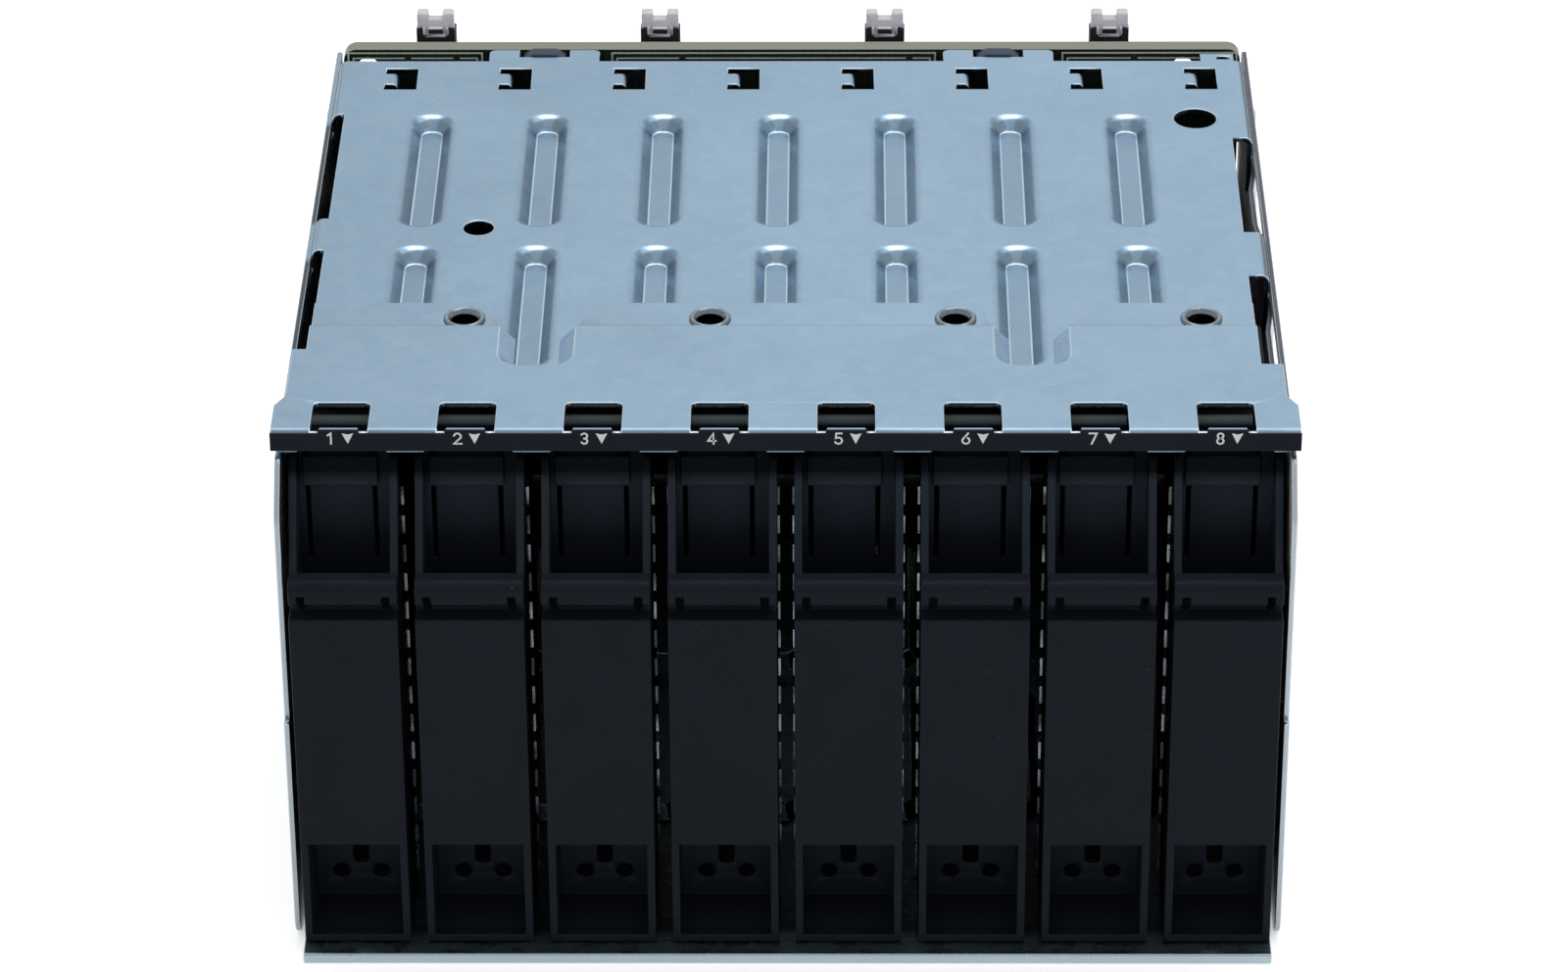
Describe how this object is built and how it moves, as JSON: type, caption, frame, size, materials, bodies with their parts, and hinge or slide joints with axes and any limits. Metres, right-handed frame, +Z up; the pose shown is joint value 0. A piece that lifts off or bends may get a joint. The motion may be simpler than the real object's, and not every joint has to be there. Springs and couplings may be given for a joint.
{
  "type": "hard drive cage",
  "caption": "Sheet-metal drive cage for a server: ribbed top, numbered front header, slide-out bay blanks with shield springs, and a backplane board with cable sockets.",
  "frame": {"origin": "centre of the base panel's underside", "axes": "+X to the right seen from the front, +Y from the front to the rear, +Z up"},
  "size_m": [0.138, 0.1424, 0.0784],
  "materials": {
    "galvanised_sheet": "zinc-coated sheet, satin",
    "side_sheet": "zinc-coated sheet, satin",
    "bright_steel": "bright rolled steel",
    "spring_steel": "bright spring steel",
    "black_plastic": "fine moulded grain",
    "strip_film": "satin printed film",
    "board_laminate": "solder mask, bare laminate at the edges",
    "socket_plastic": "moulded",
    "pale_plastic": "milky moulded plastic",
    "clip_plastic": "moulded"
  },
  "bodies": {
    "cage": {"top_panel": "galvanised_sheet", "base_panel": "galvanised_sheet", "left_side_wall": "side_sheet", "right_side_wall": "side_sheet", "front_header": "galvanised_sheet", "number_strip": "strip_film", "header_eyelets": "bright_steel", "side_rivets": "bright_steel", "backplane_board": "board_laminate", "power_socket": "socket_plastic", "board_clip_1": "clip_plastic", "board_clip_2": "clip_plastic", "drive_socket_1": "socket_plastic", "drive_socket_2": "socket_plastic", "drive_socket_3": "socket_plastic", "drive_socket_4": "socket_plastic", "drive_socket_5": "socket_plastic", "drive_socket_6": "socket_plastic", "drive_socket_7": "socket_plastic", "drive_socket_8": "socket_plastic", "cable_socket_1": "socket_plastic", "cable_hasp_1": "pale_plastic", "cable_socket_2": "socket_plastic", "cable_hasp_2": "pale_plastic", "cable_socket_3": "socket_plastic", "cable_hasp_3": "pale_plastic", "cable_socket_4": "socket_plastic", "cable_hasp_4": "pale_plastic"},
    "bay_1_blank": {"blank_1": "black_plastic", "shield_spring_1": "spring_steel"},
    "bay_2_blank": {"blank_2": "black_plastic", "shield_spring_2": "spring_steel"},
    "bay_3_blank": {"blank_3": "black_plastic", "shield_spring_3": "spring_steel"},
    "bay_4_blank": {"blank_4": "black_plastic", "shield_spring_4": "spring_steel"},
    "bay_5_blank": {"blank_5": "black_plastic", "shield_spring_5": "spring_steel"},
    "bay_6_blank": {"blank_6": "black_plastic", "shield_spring_6": "spring_steel"},
    "bay_7_blank": {"blank_7": "black_plastic", "shield_spring_7": "spring_steel"},
    "bay_8_blank": {"blank_8": "black_plastic", "shield_spring_8": "spring_steel"}
  },
  "joints": [
    {"name": "blank_1_slide", "type": "slide", "parent": "cage", "child": "bay_1_blank", "axis": [0, -1, 0], "range_m": [0, 0.06]},
    {"name": "blank_2_slide", "type": "slide", "parent": "cage", "child": "bay_2_blank", "axis": [0, -1, 0], "range_m": [0, 0.06]},
    {"name": "blank_3_slide", "type": "slide", "parent": "cage", "child": "bay_3_blank", "axis": [0, -1, 0], "range_m": [0, 0.06]},
    {"name": "blank_4_slide", "type": "slide", "parent": "cage", "child": "bay_4_blank", "axis": [0, -1, 0], "range_m": [0, 0.06]},
    {"name": "blank_5_slide", "type": "slide", "parent": "cage", "child": "bay_5_blank", "axis": [0, -1, 0], "range_m": [0, 0.06]},
    {"name": "blank_6_slide", "type": "slide", "parent": "cage", "child": "bay_6_blank", "axis": [0, -1, 0], "range_m": [0, 0.06]},
    {"name": "blank_7_slide", "type": "slide", "parent": "cage", "child": "bay_7_blank", "axis": [0, -1, 0], "range_m": [0, 0.06]},
    {"name": "blank_8_slide", "type": "slide", "parent": "cage", "child": "bay_8_blank", "axis": [0, -1, 0], "range_m": [0, 0.06]}
  ]
}
